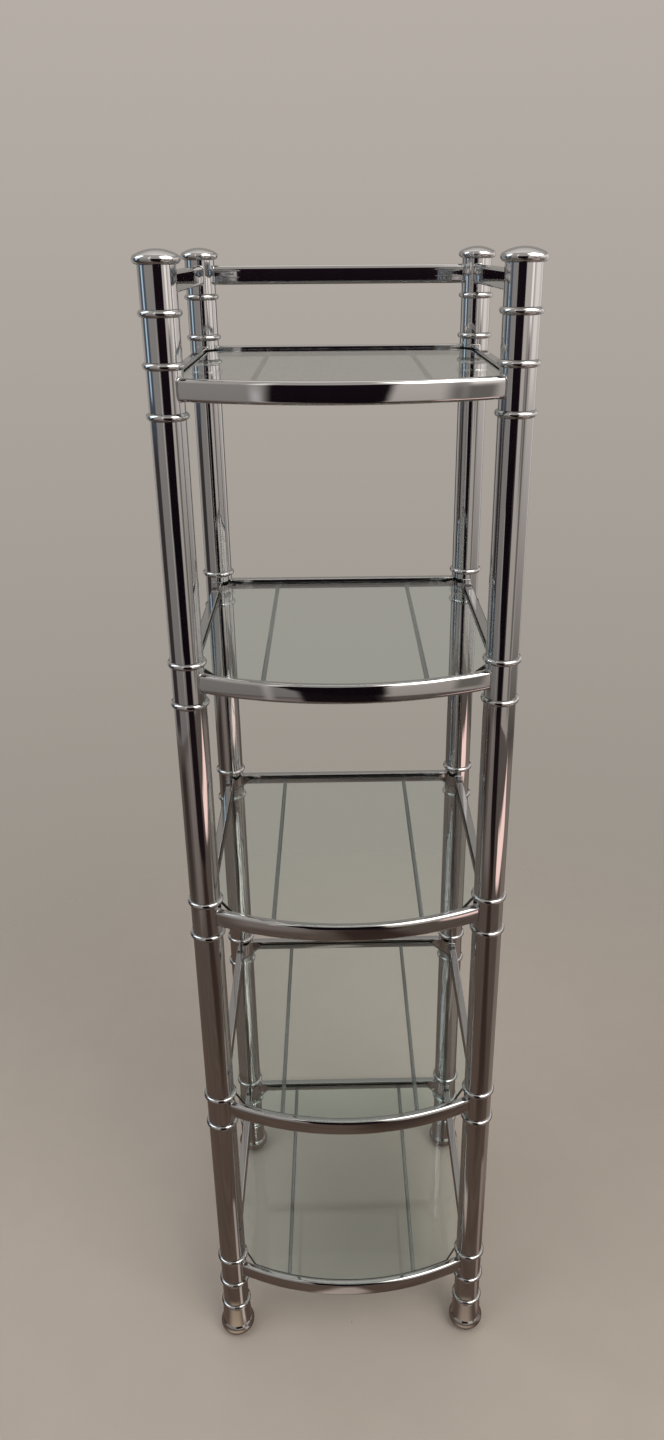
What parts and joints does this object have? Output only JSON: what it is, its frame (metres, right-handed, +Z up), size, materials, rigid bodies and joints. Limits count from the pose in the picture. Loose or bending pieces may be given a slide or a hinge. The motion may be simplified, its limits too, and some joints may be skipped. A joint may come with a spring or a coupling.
{
  "type": "glass shelving unit",
  "caption": "Tall square glass shelving unit with bright tube posts, bowed front bars, loose glass panes with cut corners and a low gallery rail round the top.",
  "frame": {"origin": "on the floor, in the middle of the unit's box", "axes": "+Z up along the posts, -Y towards the bowed front, +X to the right seen from the front"},
  "size_m": [0.343, 0.3638, 1.3019],
  "materials": {
    "chrome": "polished plating",
    "rod_chrome": "satin plating",
    "clear_glass": "clear float glass with ground edges",
    "stud_steel": "zinc plated thread",
    "plug_zinc": "as cast"
  },
  "bodies": {
    "frame": {"shelf_1_front_bar": "chrome", "shelf_1_back_rail": "chrome", "shelf_1_side_rails": "chrome", "shelf_1_support_rods": "rod_chrome", "shelf_1_hubs": "chrome", "shelf_2_front_bar": "chrome", "shelf_2_back_rail": "chrome", "shelf_2_side_rails": "chrome", "shelf_2_support_rods": "rod_chrome", "shelf_2_hubs": "chrome", "shelf_3_front_bar": "chrome", "shelf_3_back_rail": "chrome", "shelf_3_side_rails": "chrome", "shelf_3_support_rods": "rod_chrome", "shelf_3_hubs": "chrome", "shelf_4_front_bar": "chrome", "shelf_4_back_rail": "chrome", "shelf_4_side_rails": "chrome", "shelf_4_support_rods": "rod_chrome", "shelf_4_hubs": "chrome", "shelf_5_front_bar": "chrome", "shelf_5_back_rail": "chrome", "shelf_5_side_rails": "chrome", "shelf_5_support_rods": "rod_chrome", "shelf_5_hubs": "chrome", "front_left_tube_1": "chrome", "front_left_tube_2": "chrome", "front_left_tube_3": "chrome", "front_left_tube_4": "chrome", "front_right_tube_1": "chrome", "front_right_tube_2": "chrome", "front_right_tube_3": "chrome", "front_right_tube_4": "chrome", "back_left_tube_1": "chrome", "back_left_tube_2": "chrome", "back_left_tube_3": "chrome", "back_left_tube_4": "chrome", "back_right_tube_1": "chrome", "back_right_tube_2": "chrome", "back_right_tube_3": "chrome", "back_right_tube_4": "chrome", "lower_tubes": "chrome", "upper_tubes": "chrome", "gallery_back_rail": "chrome", "gallery_side_rails": "chrome", "gallery_hubs": "chrome", "collars": "chrome", "caps": "chrome", "joining_studs": "stud_steel", "top_studs": "stud_steel", "tube_plugs": "plug_zinc"},
    "pane_1": {"shelf_1_glass": "clear_glass"},
    "pane_2": {"shelf_2_glass": "clear_glass"},
    "pane_3": {"shelf_3_glass": "clear_glass"},
    "pane_4": {"shelf_4_glass": "clear_glass"},
    "pane_5": {"shelf_5_glass": "clear_glass"},
    "foot_front_left": {"front_left_foot": "chrome"},
    "foot_front_right": {"front_right_foot": "chrome"},
    "foot_back_left": {"back_left_foot": "chrome"},
    "foot_back_right": {"back_right_foot": "chrome"}
  },
  "joints": [
    {"name": "pane_1_lift", "type": "slide", "parent": "frame", "child": "pane_1", "axis": [0, 0, 1], "range_m": [0, 0.025]},
    {"name": "pane_2_lift", "type": "slide", "parent": "frame", "child": "pane_2", "axis": [0, 0, 1], "range_m": [0, 0.025]},
    {"name": "pane_3_lift", "type": "slide", "parent": "frame", "child": "pane_3", "axis": [0, 0, 1], "range_m": [0, 0.025]},
    {"name": "pane_4_lift", "type": "slide", "parent": "frame", "child": "pane_4", "axis": [0, 0, 1], "range_m": [0, 0.025]},
    {"name": "pane_5_lift", "type": "slide", "parent": "frame", "child": "pane_5", "axis": [0, 0, 1], "range_m": [0, 0.025]},
    {"name": "front_left_foot_level", "type": "slide", "parent": "frame", "child": "foot_front_left", "axis": [0, 0, -1], "range_m": [0, 0.006]},
    {"name": "front_right_foot_level", "type": "slide", "parent": "frame", "child": "foot_front_right", "axis": [0, 0, -1], "range_m": [0, 0.006]},
    {"name": "back_left_foot_level", "type": "slide", "parent": "frame", "child": "foot_back_left", "axis": [0, 0, -1], "range_m": [0, 0.006]},
    {"name": "back_right_foot_level", "type": "slide", "parent": "frame", "child": "foot_back_right", "axis": [0, 0, -1], "range_m": [0, 0.006]}
  ]
}
